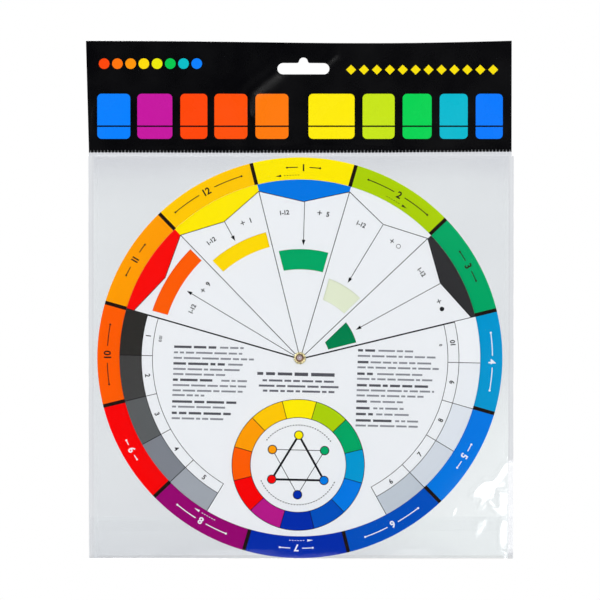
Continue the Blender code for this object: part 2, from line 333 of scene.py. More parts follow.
def glyph(sign):
    # a numeral's faces from Blender's own font, scaled so that a 0 is one unit high
    if sign in glyphs:
        return glyphs[sign]
    curve = bpy.data.curves.new("numeral", "FONT")
    curve.body, curve.resolution_u = sign, 3
    curve.offset = 0.028  # the photo's letters are a little bolder than the font
    holder = bpy.data.objects.new("numeral", curve)
    scene.collection.objects.link(holder)
    mesh = holder.evaluated_get(bpy.context.evaluated_depsgraph_get()).to_mesh()
    mesh.calc_loop_triangles()
    spots = [(v.co.x, v.co.y) for v in mesh.vertices]
    faces = [[spots[i] for i in t.vertices] for t in mesh.loop_triangles]
    low, high = min(x for x, _ in spots), max(x for x, _ in spots)
    base = min(y for _, y in spots) if sign == "0" else 0
    size = max(y for _, y in spots) - base if sign == "0" else glyph("0")["size"]
    glyphs[sign] = {
        "size": size,
        "width": (high - low) / size,
        "faces": [[((x - low) / size, (y - base) / size) for x, y in f] for f in faces],
    }
    bpy.data.objects.remove(holder)
    return glyphs[sign]


def numeralShapes(paint, text, radius, degrees, height, topsOut=True):
    # numerals along an arc, centred on an angle, reading clockwise with their tops out, or
    # the other way with their tops in
    gap, way = numeralGap * height, 1 if topsOut else -1
    widths = [glyph(c)["width"] * height for c in text]
    along = -(sum(widths) + gap * (len(text) - 1)) / 2
    shapes = []
    for sign, width in zip(text, widths):
        angle = math.radians(degrees) - way * (along + width / 2) / radius
        up = (math.cos(angle) * way, math.sin(angle) * way)
        spot = (radius * math.cos(angle), radius * math.sin(angle))
        for face in glyph(sign)["faces"]:
            spots = [(gx * height - width / 2, (gy - 0.5) * height) for gx, gy in face]
            shapes.append((paint, [(spot[0] + up[1] * x + up[0] * y, spot[1] - up[0] * x + up[1] * y)
                                   for x, y in spots]))
        along += width + gap
    return shapes


words = {"letters": (2, 8), "gap": 0.9}  # the gap is in widths of a letter


def wordBars(rng, paint, left, right, level, height, letter):
    # plain bars as long as words stand where the real card has a line of reading matter
    shapes, x = [], left
    low, high = level - height / 2, level + height / 2
    while x < right - letter:
        end = min(right, x + letter * rng.randint(*words["letters"]))
        shapes.append((paint, [(x, low), (end, low), (end, high), (x, high)]))
        x = end + letter * words["gap"]
    return shapes


sliver, mergeGap = 0.01, 1e-5  # least area for its longest side; points closer than this are one


def signedArea(points):
    return sum(a[0] * b[1] - b[0] * a[1] for a, b in zip(points, points[1:] + points[:1])) / 2


def tooThin(points):
    # a sliver has no inside to print on
    longest = max(math.dist(a, b) for a, b in zip(points, points[1:] + points[:1]))
    return abs(signedArea(points)) < sliver * longest


def cutPrint(shapes, extra=()):
    # the first shape is the sheet; each triangle takes the last ink laid on it, and None is a hole
    spots, faces, paints = [], [], []
    for paint, points in shapes:
        points = list(points)
        if tooThin(points):
            continue
        start = len(spots)
        spots += [Vector(p) for p in (points if signedArea(points) > 0 else points[::-1])]
        faces.append(list(range(start, len(spots))))
        paints.append(paint)
    spots += [Vector(p) for p in extra]
    made = geometry.delaunay_2d_cdt(spots, [], faces, 0, mergeGap)
    coords, triangles, origins = made[0], made[2], made[5]
    kept = [(list(triangle), paints[max(origin)]) for triangle, origin in zip(triangles, origins)
            if 0 in origin and paints[max(origin)] is not None]
    return coords, kept


def sheetFrom(name, cut, place, backInk):
    # closes a cut print into a sheet with a bare back and edge;
    # place(u, v, side) gives the printed face at side 0 and the back at 1
    coords, kept = cut
    used = sorted({i for triangle, _ in kept for i in triangle})
    fresh = {old: new for new, old in enumerate(used)}
    count = len(used)
    points = [place(coords[i][0], coords[i][1], side) for side in (0, 1) for i in used]
    names = sorted({paint for _, paint in kept} | {backInk})
    slots = {paint: number for number, paint in enumerate(names)}
    faces, slotOf, rim = [], [], {}
    for triangle, paint in kept:
        a, b, c = (fresh[i] for i in triangle)
        faces += [(a, b, c), (c + count, b + count, a + count)]
        slotOf += [slots[paint], slots[backInk]]
        for start, end in ((a, b), (b, c), (c, a)):
            if (end, start) in rim:
                del rim[(end, start)]
            else:
                rim[(start, end)] = True
    faces += [(b, a, a + count, b + count) for a, b in rim]
    slotOf += [slots[backInk]] * len(rim)
    piece = meshPiece(name, points, faces)
    coat(piece, *names)
    piece.data.polygons.foreach_set("material_index", slotOf)
    piece.data.update()
    return piece


def flatPlace(front, back, faceBack=False):
    way = -1 if faceBack else 1
    return lambda u, v, side: (wheelX + way * u * mm, (back if side else front) * mm, wheelZ + v * mm)


# The board with its rings of colour.
hues = [
    (255, 236, 0), (175, 210, 6), (0, 168, 103), (0, 154, 211), (0, 123, 229), (0, 82, 193),
    (0, 46, 174), (153, 4, 115), (250, 0, 2), (255, 95, 0), (255, 160, 0), (255, 202, 0),
]  # clockwise from the top
paleLetters = (3, 4, 5, 6, 7, 8)  # hues whose numbers are white

board = {
    "radius": 117.5, "hueRing": 103.9, "overrun": 119, "half": 0.3, "bore": 2.58,
    "bars": 2.15,  # width of the black bars between the hues
    "number": 4.3, "numberRadius": 111.7,
    # the rules beside a number: width, end dot, where they start and how long they are at least
    "rule": 0.55, "ruleDot": 1.1, "numeralHalf": 0.36, "ruleGap": 1.9, "ruleLeast": 1.5,
    # reach of each hue's rules, both ways
    "reach": (9.6, 20.0, 9.8, 17.0, 8.0, 17.6, 9.6, 16.5, 6.4, 17.6, 10.5, 22.0),
    # edges of the mixing rings, and what each adds: red, yellow, blue, or a tone and its share
    "mixRings": (160, 135, 112, 87, 61, 25), "mixes": (8, 0, 4, (0.92, 0.70), (0, 0.42)),
    "backRings": (103.5, 92.5, 81.5, 70.5, 8.0), "backMixes": ((0.92, 0.55), (0.22, 0.55), (0, 0.5)),
    "backLine": 0.7,
}
bore = [(None, disc(board["bore"], step=7.5))]


def px(radius):
    return radius * pxMm


def blend(one, two, share):
    return [p * (1 - share) + q * share for p, q in zip(one, two)]


def hueLight(step):
    low = math.floor(step)
    return blend(linear(hues[low % 12]), linear(hues[(low + 1) % 12]), step - low)


mud = {"floor": 0.02, "tone": 0.8, "gap": 4, "start": 3.6, "reach": 2.4, "growth": 0.8}


def mixture(one, two):
    # two paints mixed: the hue between them, muddier the further apart they lie
    gap, floor = (two - one + 6) % 12 - 6, mud["floor"]
    darker = [max(p, floor) * max(q, floor) for p, q in zip(hueLight(one), hueLight(two))]
    share = 0
    if abs(gap) > mud["gap"]:
        share = min(1, max(0, (abs(gap) - mud["start"]) / mud["reach"])) ** mud["growth"]
    return blend(hueLight(one + gap / 2), [math.sqrt(c) * mud["tone"] for c in darker], share)


def sectorAngles(number):
    middle = 90 - 30 * number
    return middle - 15, middle + 15


def spokes(paint, inner, outer, width, lean=0):
    # a line along the edge of each of the twelve sectors
    edges = [sectorAngles(number)[1] + lean for number in range(12)]
    return [(paint, spoke(inner, outer, edge, width)) for edge in edges]


def ringNumber(paint, number):
    # the hue's number between two rules
    middle, radius, height = 90 - 30 * number, board["numberRadius"], board["number"]
    text, rule = str(number + 1), board["rule"]
    shapes = numeralShapes(paint, text, radius, middle, height)
    start = height * board["numeralHalf"] * len(text) + board["ruleGap"]
    end = board["reach"][number]
    if end > start + board["ruleLeast"]:
        for side in (-1, 1):
            near, far = (middle + side * math.degrees(d / radius) for d in (start, end))
            band = sector(radius - rule / 2, radius + rule / 2, min(near, far), max(near, far))
            dot = disc(rule * board["ruleDot"], polar(radius, far), 30)
            shapes += [(paint, band), (paint, dot)]
    return shapes


def hueRingShapes():
    inner, outer = board["hueRing"], board["overrun"]
    shapes = [("boardWhite", disc(board["radius"]))]
    for number, hue in enumerate(hues):
        paint = ink(f"hue{number + 1:02d}", hue, "boardVarnish")
        shapes.append((paint, sector(inner, outer, *sectorAngles(number))))
    shapes += spokes("boardBlack", inner, outer, board["bars"])
    for number in range(12):
        shapes += ringNumber("boardPale" if number in paleLetters else "boardDark", number)
    return shapes


warmCool = {
    # start, way round and ink of each arrow; then the places of its dots and of its head
    "arrows": ((91.5, 1, "boardDark"), (63.0, -1, "boardDark"),
               (-92.0, 1, "boardPale"), (-116.5, -1, "boardPale")),
    "dots": 6, "pitch": 0.85, "dotHalf": 0.24, "dotRing": (107.0, 107.35),
    "neck": 5.4, "tip": 7.2, "tipRadius": 107.2, "neckRadii": (107.9, 106.5),
}


def warmCoolMarks():
    # small dotted arrows where the warm and the cool half of the ring meet
    shapes, half = [], warmCool["dotHalf"]
    for start, way, paint in warmCool["arrows"]:
        for dot in range(warmCool["dots"]):
            angle = start + way * dot * warmCool["pitch"]
            shapes.append((paint, sector(*warmCool["dotRing"], angle - half, angle + half)))
        neck = [polar(radius, start + way * warmCool["neck"]) for radius in warmCool["neckRadii"]]
        shapes.append((paint, [polar(warmCool["tipRadius"], start + way * warmCool["tip"]), *neck]))
    return shapes


def mixedRings(name, edges, mixes):
    # a ring of twelve mixtures for each thing added
    shapes = []
    for ring, added in enumerate(mixes):
        for number in range(12):
            if isinstance(added, tuple):
                light = blend(hueLight(number), [added[0]] * 3, added[1])
            else:
                light = mixture(number, added)
            paint = ink(f"{name}{ring + 1}_{number + 1:02d}", screenColour(light), "boardVarnish")
            shapes.append((paint, sector(edges[ring + 1], edges[ring], *sectorAngles(number))))
    return shapes


def makeBoard():
    inkSet("boardVarnish", boardWhite=(243, 245, 248), boardBlack=(30, 20, 16),
           boardDark=(44, 34, 26), boardPale=(240, 243, 250))
    ink("boardCore", (222, 222, 220), "boardCore")
    shapes = hueRingShapes() + warmCoolMarks()
    shapes += mixedRings("mix", [px(r) for r in board["mixRings"]], board["mixes"])
    cut = cutPrint(turned(shapes + bore, wheelLean))
    front = sheetFrom("boardFront", cut, flatPlace(-board["half"], 0), "boardCore")
    dress(front, "wheel", "base_disc", slot="wheel_board")

    edges, line = board["backRings"], board["backLine"]
    shapes = hueRingShapes() + mixedRings("back", edges, board["backMixes"])
    shapes += spokes("boardWhite", edges[3], edges[0], line)
    for radius in edges[:4]:
        shapes += circleLine("boardWhite", radius, line / 2)
    cut = cutPrint(turned(shapes + bore, -wheelLean))
    back = sheetFrom("boardBack", cut, flatPlace(board["half"], 0, faceBack=True), "boardCore")
    dress(back, "wheel", slot="wheel_board")


# The front dial. Radii in its tables are in grid units, angles in degrees.
dial = {
    "radius": 104.6, "overrun": 2, "front": -0.85, "back": -0.45,
    "tips": ("tipRed", "tipYellow", "tipBlue", "dialWhite", "tipBlack"),
    # reach of the tips' corners and of their inner points, from the left round to the right
    "corners": (172.6, 172.2, 173.4, 175.0, 175.4, 175.4), "points": (157.2, 157.3, 158.2, 158.5, 158.9),
    # the printing sits a little off the card's windows and bore
    "printLean": -1.3, "printShift": (0.20, -0.50),
    "line": 0.44, "heavy": 0.86, "fine": 0.40, "lineStart": 4, "lineEnd": 182,
    # share of the radius of each window's inner and outer edge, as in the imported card
    "windows": ((0.771, 0.860), (0.644, 0.730), (0.497, 0.611), (0.350, 0.474), (0.164, 0.325)),
    "upperGap": 3.6, "lowerGap": 0.8,
    # start and tip of each wedge's arrow
    "arrows": (((7, 150), (132, 150)), ((157, 119.9), (135, 119.9)), ((158, 89.7), (114.2, 89.7)),
               ((158, 59.9), (89.9, 59.6)), ((158.5, 29.9), (62.6, 29.3))),
    "arrowHead": 3.3,
    # where each wedge's 1-12 stands, and what is added to it
    "labels": ((118.9, 156.0, "9", 118.9, 143.8), (148.2, 127.9, "1", 148.2, 112.4),
               (148.2, 97.3, "5", 148.2, 82.2), (148.6, 67.1, "open", 149.6, 52.1),
               (149.3, 37.1, "full", 149.7, 22.5)),
    "label": 2.8, "added": 3.0, "labelGap": 2.4, "mark": 2.7, "markLine": 0.5, "markRim": 0.32,
    "greys": ((47, 46, 44), (68, 68, 68), (94, 97, 99), (129, 134, 143), (163, 169, 178),
              (194, 203, 213), (213, 220, 229), (225, 231, 239), (236, 240, 245), (241, 244, 248)),
    "band": (147, 158), "bandLine": 0.18, "number": 3.0,
    "ends": (("100", 173), ("0", 7)), "endRadius": 140.5, "end": 1.9,
}


def dialPoint(radius, degrees):
    return polar(px(radius), degrees)


def cornerAngle(number):
    return 165 - 30 * number


def tipCorner(number):
    return dialPoint(dial["corners"][number], cornerAngle(number))


def tipPoint(wedge):
    return dialPoint(dial["points"][wedge], cornerAngle(wedge) - 15)


def wedgeShapes():
    shapes = []
    for wedge, paint in enumerate(dial["tips"]):
        inside = [tipCorner(wedge), tipPoint(wedge), tipCorner(wedge + 1)]
        span = (cornerAngle(wedge + 1), cornerAngle(wedge))
        shapes.append((paint, inside + arcPoints(dial["radius"] + dial["overrun"], *span)))
    for wedge in range(5):
        for corner in (wedge, wedge + 1):
            shapes.append(("dialLine", bar(tipCorner(corner), tipPoint(wedge), dial["line"])))
    for corner in range(6):
        start = dialPoint(dial["lineStart"], cornerAngle(corner))
        if corner in (0, 5):
            line = bar(start, dialPoint(dial["lineEnd"], cornerAngle(corner)), dial["heavy"])
        else:
            line = bar(start, tipCorner(corner), dial["line"])
        shapes.append(("dialLine", line))
    return shapes


def signShapes(sign, radius, degrees):
    # a plus, an open disc or a filled disc beside a wedge's arrow
    half, line = dial["mark"] / 2, dial["markLine"]
    if sign == "plus":
        shapes = [("dialDark", bar((-half, 0), (half, 0), line)),
                  ("dialDark", bar((0, -half), (0, half), line))]
    else:
        shapes = [("dialDark", disc(half, step=15))]
        if sign == "open":
            shapes.append(("dialWhite", disc(half - dial["markRim"], step=15)))
    return shifted(turned(shapes, degrees - 90), *polar(radius, degrees))


def wedgeMarks():
    shapes = []
    for start, end in dial["arrows"]:
        ends = dialPoint(*start), dialPoint(*end)
        shapes += arrowShapes("dialLine", *ends, dial["fine"], dial["arrowHead"])
    for radius, degrees, added, addedRadius, addedDegrees in dial["labels"]:
        shapes += numeralShapes("dialDark", "1-12", px(radius), degrees, dial["label"])
        place = px(addedRadius)
        lead = math.degrees(dial["labelGap"] / place)
        shapes += signShapes("plus", place, addedDegrees + lead)
        if added in ("open", "full"):
            shapes += signShapes(added, place, addedDegrees - lead)
        else:
            shapes += numeralShapes("dialDark", added, place, addedDegrees - lead, dial["added"])
    return shapes


def greyScaleShapes():
    shapes, half = [], dial["bandLine"]
    low, high = (px(r) for r in dial["band"])
    starts = [first + 15 * k for first in (165, -60) for k in range(5)]
    for number, start in enumerate(starts):
        paint = ink(f"grey{number + 1:02d}", dial["greys"][number], "dialVarnish")
        shapes.append((paint, sector(high, dial["radius"] + dial["overrun"], start, start + 15)))
    for span in ((165, 240), (-60, 15)):
        for radius in (low, high):
            shapes.append(("dialLine", sector(radius - half, radius + half, *span)))
    for number, start in enumerate(starts):
        edge = start + 15 if number < 5 else start
        shapes.append(("dialLine", spoke(low, dial["radius"] + 1, edge, dial["fine"])))
        shapes += numeralShapes("dialDark", str(number + 1), (low + high) / 2, start + 7.5,
                                dial["number"], topsOut=False)
    for text, degrees in dial["ends"]:
        shapes += numeralShapes("dialDark", text, px(dial["endRadius"]), degrees, dial["end"],
                                topsOut=False)
    return shapes


reading = {
    # rows as (level, left, right, weight) in grid units from the eyelet, before the print's lean
    "left": (
        (10.3, -125.7, -83.7, 2), (10.3, -80.0, -56.4, 1), (4.6, -125.8, -57.7, 1),
        (-0.9, -125.9, -46.0, 1), (-6.5, -126.0, -74.9, 2), (-6.5, -71.5, -56.5, 1),
        (-12.0, -126.0, -60.0, 1), (-17.2, -126.1, -74.3, 1), (-22.9, -126.2, -82.4, 2),
        (-22.9, -78.0, -52.5, 1), (-28.3, -126.2, -53.2, 1), (-33.6, -126.3, -56.6, 1),
        (-38.3, -126.4, -94.6, 1), (-44.8, -126.5, -62.6, 2), (-50.0, -126.5, -71.3, 1),
        (-56.3, -126.6, -66.4, 2), (-61.7, -126.6, -75.2, 1),
    ),
    "right": (
        (8.9, 57.3, 74.3, 2), (8.9, 77.6, 115.8, 1), (3.3, 57.2, 134.6, 1), (-2.9, 57.2, 68.0, 2),
        (-2.9, 70.2, 130.4, 1), (-8.2, 57.1, 138.2, 1), (-14.6, 57.1, 72.6, 2), (-14.6, 77.0, 124.2, 1),
        (-19.8, 57.0, 134.3, 1), (-26.2, 57.0, 80.8, 2), (-26.2, 82.8, 127.8, 2),
        (-31.2, 56.9, 134.0, 1), (-36.5, 56.9, 123.8, 1), (-42.5, 56.8, 67.4, 2),
        (-42.5, 70.8, 103.2, 1), (-49.2, 56.8, 70.2, 2), (-49.2, 73.8, 104.2, 1),
        (-55.2, 56.7, 73.6, 2), (-55.2, 76.9, 109.3, 1), (-61.6, 56.7, 92.3, 2),
        (-61.6, 95.9, 118.8, 1), (-66.8, 56.6, 118.5, 1),
    ),
    "middle": (
        (-15.4, -42.4, -7.6, 3), (-15.4, -5.2, 38.8, 4), (-22.2, -37.0, 34.0, 2.5),
        (-27.6, -40.6, 39.2, 2.5), (-32.6, -36.4, 34.8, 2.5),
    ),
}
settle = {"left": -0.7, "right": 1.2, "middle": 0.0}  # brings each block to its level, in grid units
weights = {  # ink, height and width of a letter
    1: ("readingPale", 1.10, 1.20), 2: ("readingDark", 1.40, 1.45), 2.5: ("readingMiddle", 1.20, 1.30),
    3: ("readingDark", 1.70, 1.75), 4: ("readingDark", 2.00, 1.95),
}


def readingShapes():
    rng = random.Random(27)
    shapes = []
    for block, rows in reading.items():
        for level, left, right, weight in rows:
            paint, height, letter = weights[weight]
            place = px(level + settle[block])
            shapes += wordBars(rng, paint, px(left), px(right), place, height, letter)
    return shapes


emblem = {
    "centre": (0.4, -106.7), "outer": 66.0, "inner": 47.7, "lean": 0.2, "line": 0.40, "edge": 0.19,
    # first corner and line width of each triad; the thin one lies under the bold one
    "triads": ((30, 0.42), (90, 1.25)), "reach": 17.5, "spot": 2.75, "hue": 2.2,
    # start, end and number of steps of the dotted arcs inside the ring
    "arcs": ((38, 142, 26), (205, 335, 32)), "arcRadius": 23.4, "dot": 0.42,
}


def emblemHue(number):
    return hues[number] if number != 7 else (184, 26, 140)


def emblemShapes():
    # the ring of twelve hues with a plain figure of two triads inside it
    outer, inner, lean = px(emblem["outer"]), px(emblem["inner"]), emblem["lean"]
    shapes = []
    for number in range(12):
        paint = ink(f"dialHue{number + 1:02d}", emblemHue(number), "dialVarnish")
        low, high = (a + lean for a in sectorAngles(number))
        shapes.append((paint, sector(inner, outer, low, high, step=3)))
    shapes += spokes("dialLine", inner, outer, emblem["line"], lean)
    for radius in (inner, outer):
        shapes += circleLine("dialLine", radius, emblem["edge"], step=3)
    for start, width in emblem["triads"]:
        ends = [polar(emblem["reach"], start + 120 * k) for k in range(3)]
        shapes += [("dialDark", bar(a, b, width)) for a, b in zip(ends, ends[1:] + ends[:1])]
        for k, spot in enumerate(ends):
            number = round((90 - start - 120 * k) / 30) % 12
            shapes.append(("dialDark", disc(emblem["spot"], spot, 10)))
            shapes.append((f"dialHue{number + 1:02d}", disc(emblem["hue"], spot, 10)))
    for start, end, count in emblem["arcs"]:
        for k in range(count + 1):
            spot = polar(emblem["arcRadius"], start + (end - start) * k / count)
            shapes.append(("dialDark", disc(emblem["dot"], spot, 45)))
    return shifted(shapes, *(px(c) for c in emblem["centre"]))


def windowShapes():
    # openings with sides parallel to the wedge's two lines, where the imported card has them
    shapes = []
    for wedge, (inner, outer) in enumerate(dial["windows"]):
        sides = []
        for radius in (dial["radius"] * outer, dial["radius"] * inner):
            top = cornerAngle(wedge) - math.degrees(math.asin(dial["upperGap"] / radius))
            low = cornerAngle(wedge + 1) + math.degrees(math.asin(dial["lowerGap"] / radius))
            sides.append((radius, low, top))
        far, (near, nearLow, nearTop) = sides
        shapes.append((None, arcPoints(*far) + arcPoints(near, nearTop, nearLow)))
    return shapes


def makeDial():
    inkSet("dialVarnish", dialWhite=(239, 242, 246), dialLine=(18, 18, 21), dialDark=(30, 30, 35),
           readingDark=(84, 85, 92), readingMiddle=(104, 105, 114), readingPale=(138, 141, 148),
           tipRed=(250, 6, 4), tipYellow=(255, 235, 0), tipBlue=(0, 122, 230), tipBlack=(50, 50, 52))
    ink("dialCore", (232, 232, 230), "boardCore")
    printed = wedgeShapes() + greyScaleShapes() + wedgeMarks() + readingShapes() + emblemShapes()
    printed = turned(shifted(printed, *dial["printShift"]), dial["printLean"])
    openings = turned(windowShapes() + bore, dialLean)
    cut = cutPrint([("dialWhite", disc(dial["radius"]))] + printed + openings)
    card = sheetFrom("dialCard", cut, flatPlace(dial["front"], dial["back"]), "dialCore")
    dress(card, "front_dial", "front_dial", slot="dial_card")


# The rear dial: plain figures that link hues on the back of the board.
rear = {
    "radius": 70.0, "front": 0.85, "back": 0.45,
    "circles": ((68.6, 0.35), (66.9, 0.18), (20.0, 0.25)),  # radius and line width
    "marks": (66.4, 63.2, 1.5),  # tip, foot and half angle
    "reach": 62.0,
    "figures": (
        # ink, line width and angles of the corners
        ("dialDark", 1.1, (90, -90)), ("tipRed", 0.9, (90, -30, 210)),
        ("tipBlue", 0.9, (90, 0, -90, 180)), ("hue03d", 0.7, (90, -60, -120)),
        ("hue08d", 0.7, (90, -120, -60)),
    ),
    "numberRadius": 58.0, "number": 2.4, "hub": 9.0, "hubLine": (8.95, 0.15),
}


def makeRear():
    inkSet("dialVarnish", hue03d=hues[2], hue08d=emblemHue(7))
    shapes = [("dialWhite", disc(rear["radius"]))]
    for radius, width in rear["circles"]:
        shapes += circleLine("dialLine", radius, width / 2)
    tip, foot, half = rear["marks"]
    for angle in (90 - 30 * k for k in range(12)):
        mark = [polar(tip, angle), polar(foot, angle - half), polar(foot, angle + half)]
        shapes.append(("dialDark", mark))
    for paint, width, angles in rear["figures"]:
        ends = [polar(rear["reach"], a) for a in angles]
        pairs = list(zip(ends, ends[1:] + ends[:1]))
        for a, b in pairs if len(ends) > 2 else pairs[:1]:
            shapes.append((paint, bar(a, b, width)))
    for k in range(12):
        place = (rear["numberRadius"], 90 - 30 * k, rear["number"])
        shapes += numeralShapes("dialDark", str(k + 1), *place)
    shapes.append(("dialWhite", disc(rear["hub"], step=6)))
    cut = cutPrint(shapes + circleLine("dialLine", *rear["hubLine"], step=6) + bore)
    place = flatPlace(rear["front"], rear["back"], faceBack=True)
    dress(sheetFrom("rearCard", cut, place, "dialCore"), "rear_dial", "rear_dial", slot="dial_card")


# The brass eyelet.
eyelet = {
    # radius and place along the axis: throat from back to front, rolled lip, barrel, rear roll
    "throat": ((1.00, 0.95), (0.38, 0.40), (0.95, 0.05), (1.42, -0.70), (1.95, -1.28), (2.40, -1.55)),
    "roll": ((2.65, -1.66), (2.90, -1.70), (3.15, -1.64), (3.38, -1.48), (3.52, -1.25), (3.55, -1.03)),
    "barrel": ((2.50, -1.01), (2.50, 1.01)),
    "rear": ((3.50, 1.03), (3.55, 1.22), (3.40, 1.48), (3.10, 1.65), (2.75, 1.68), (2.30, 1.60),
             (1.80, 1.35)),
    # splits between the petals: how deep, how wide, how far they sink, and where the first one is
    "petals": 8, "dent": 0.24, "split": 0.24, "sink": 0.34, "turn": 0.5, "lip": 2.5, "lipFront": -1.1,
    "around": 96,
    # the throat is off the centre by this much, within this radius and in front of this place
    "pinch": (-0.24, 0.26), "pinchRadius": 1.5, "pinchBack": 0.9,
    # the inside colour is a dark brown painted shade for the throat's funnel
    "brass": (0.82, 0.73, 0.42), "tarnish": (0.42, 0.35, 0.13), "inside": (0.27, 0.18, 0.11),
    "spots": (700, 4), "tarnishSpan": (0.45, 0.75), "bright": 0.20, "dull": 0.60, "wear": 0.16,
    # the deepest throat rings are painted pale lilac-grey, a painted reflection of light deep in the hole
    "holeLightTone": (206, 190, 198), "deepRings": 3,
}


def brassFinish(name, colour, other, rough):
    inks[name], tree = newFinish(name)
    spots = cloudy(tree, *eyelet["spots"])
    wire(tree, tree.nodes["Principled BSDF"], {
        "Metallic": 1.0, "Roughness": ranged(tree, spots, 0, 1, rough, rough + eyelet["wear"]),
        "Base Color": mixedColour(tree, ranged(tree, spots, *eyelet["tarnishSpan"], 0, 1), colour, other),
    })


def makeEyelet():
    brassFinish("rolledBrass", eyelet["brass"], eyelet["tarnish"], eyelet["bright"])
    # painted shade: dark brown brass for the funnel inside the lip
    brassFinish("throatShadeBrass", eyelet["inside"], eyelet["inside"], eyelet["dull"])
    # painted reflection: a pale non-metal ink for the deepest rings of the hole
    ink("paleBarrel", eyelet["holeLightTone"], "boardVarnish")
    profile = [*eyelet["throat"], *eyelet["roll"], *eyelet["barrel"], *eyelet["rear"]]
    inner, around, rings = len(eyelet["throat"]) - 1, eyelet["around"], len(profile)
    points = []
    for radius, y in profile:
        out = max(0, radius - eyelet["lip"]) if y < 0 else 0
        sink = eyelet["sink"] * min(1, out * 2) if y < eyelet["lipFront"] else 0
        pinched = radius < eyelet["pinchRadius"] and y < eyelet["pinchBack"]
        across, up = eyelet["pinch"] if pinched else (0, 0)
        for k in range(around):
            angle = math.tau * k / around
            turn = math.sin(angle * eyelet["petals"] / 2 + eyelet["turn"])
            split = math.exp(-((turn / eyelet["split"]) ** 2))
            r = radius - eyelet["dent"] * out * split
            x, z = r * math.cos(angle) + across, r * math.sin(angle) + up
            points.append((wheelX + x * mm, (y + sink * split) * mm, wheelZ + z * mm))
    faces, slots = [], []
    for ring in range(rings):
        here, after = ring * around, (ring + 1) % rings * around
        for k in range(around):
            step = (k + 1) % around
            faces.append((here + k, here + step, after + step, after + k))
        # the deepest rings take the pale ink that paints the light in the hole
        deep = ring < eyelet["deepRings"] or ring == rings - 1
        # the other rings inside the lip take the painted shade brass
        slots += [2 if deep else 1 if ring < inner else 0] * around
    piece = meshPiece("rolledEyelet", points, faces)
    coat(piece, "rolledBrass", "throatShadeBrass", "paleBarrel")
    piece.data.polygons.foreach_set("material_index", slots)
    smoothed(piece)
    dress(piece, "wheel", "eyelet", slot="eyelet_brass")


# The printed header. Its artwork is laid out on a grid that is measured from the notch.
header = {
    "left": -124.25, "right": 120.55, "topLeft": -125.85, "bottom": -53.42, "top": 9.8,
    "sag": 1.4, "skew": 1.7, "steps": 60, "near": 0.05, "far": 0.25, "hold": 9,
    "origin": (303.4, 57.9), "unit": (0.5797, 0.5859),
    "slot": {"half": 15.05, "round": 3.3, "rise": 3.2, "notch": 2.6, "fillet": 1.2},
    "creases": (
        # points, height and half width
        (((-16.8, -8.6), (-30.8, -19.6), (-33.4, -30.4)), 0.80, 4.8),
        (((12.5, -3.6), (18.3, 1.7)), 0.34, 2.0),
    ),
    # points within the sheet that carry its waves: the whole of it, and closer ones at the crease
    "grids": (((-123, 120, 5.0), (-51, 8, 4.5)), ((-36, 24, 1.1), (-33, 4, 1.3))),
    "chips": (
        (96, 132, (0, 128, 255)), (136, 174, (198, 20, 160)), (179, 209, (255, 70, 0)),
        (213, 249, (255, 80, 0)), (254, 290, (255, 122, 0)), (307, 356, (255, 236, 0)),
        (361, 396, (200, 230, 20)), (401, 433, (0, 212, 84)), (438, 469, (0, 186, 208)),
        (474, 504, (0, 122, 255)),
    ),
    "chipRows": (94, 139), "chipGap": 1.5, "chipCorner": 2.6, "chipLine": (7.4, 0.9),
    "dots": ((255, 70, 0), (255, 116, 0), (255, 150, 0), (255, 220, 0), (236, 236, 0), (0, 200, 80),
             (0, 190, 200), (0, 128, 255)),
    "dotRow": (104.5, 13.2, 64), "dot": 3.1, "diamondRow": (351, 12.9, 70), "diamond": 2.9,
}


def headerSpot(x, y):
    (left, top), (wide, tall) = header["origin"], header["unit"]
    return (x - left) * wide, (top - y) * tall


def headerOutline():
    points = [(header["right"], header["bottom"]), (header["left"], header["bottom"])]
    for step in range(header["steps"] + 1):
        share = step / header["steps"]
        x = header["topLeft"] * (1 - share) + header["right"] * share
        points.append((x, header["top"] - header["sag"] * math.sin(math.pi * share ** header["skew"])))
    return points


def slotOutline():
    cut = header["slot"]
    level, reach = -cut["rise"] - cut["round"], cut["half"] - cut["round"]
    shoulder = -cut["rise"] + cut["fillet"]
    lift = shoulder + cut["notch"]
    spread = math.sqrt((cut["notch"] + cut["fillet"]) ** 2 - lift**2)
    lean = math.degrees(math.atan2(lift, spread))
    points = arcPoints(cut["round"], -90, 90, (reach, level), 9)
    points += arcPoints(cut["fillet"], -90, -180 + lean, (spread, shoulder), 12)[:-1]
    points += arcPoints(cut["notch"], lean, 180 - lean, (0, -cut["notch"]), 12)
    points += arcPoints(cut["fillet"], -lean, -90, (-spread, shoulder), 12)[1:]
    return points + arcPoints(cut["round"], 90, 270, (-reach, level), 9)


def ridge(u, v, points, height, width):
    # height of a soft fold that runs along points
    best = 0
    for a, b in zip(points, points[1:]):
        dx, dy = b[0] - a[0], b[1] - a[1]
        along = max(0, min(1, ((u - a[0]) * dx + (v - a[1]) * dy) / (dx * dx + dy * dy)))
        off = math.hypot(u - a[0] - along * dx, v - a[1] - along * dy)
        best = max(best, math.exp(-((off / width) ** 2)))
    return height * best


def headerWave(u, v):
    # the two sheets wave together and lie flat where they meet the weld
    hold = 1 - math.exp(-max(0, v - header["bottom"]) / header["hold"])
    wave = 0.22 * math.sin(u / 23 + 0.8) * math.sin(v / 19 + 1.1) + 0.13 * math.sin(u / 41 - v / 27)
    wave += 0.05 * math.sin(u / 8.5 + v / 13)
    for crease in header["creases"]:
        wave += ridge(u, v, *crease)
    return -wave * hold


def roundedBox(left, right, low, high, corner):
    points = []
    west, east, south, north = left + corner, right - corner, low + corner, high - corner
    centres = (east, north), (west, north), (west, south), (east, south)
    for centre, start in zip(centres, quarters):
        points += arcPoints(corner, start, start + 90, centre, 15)
    return points


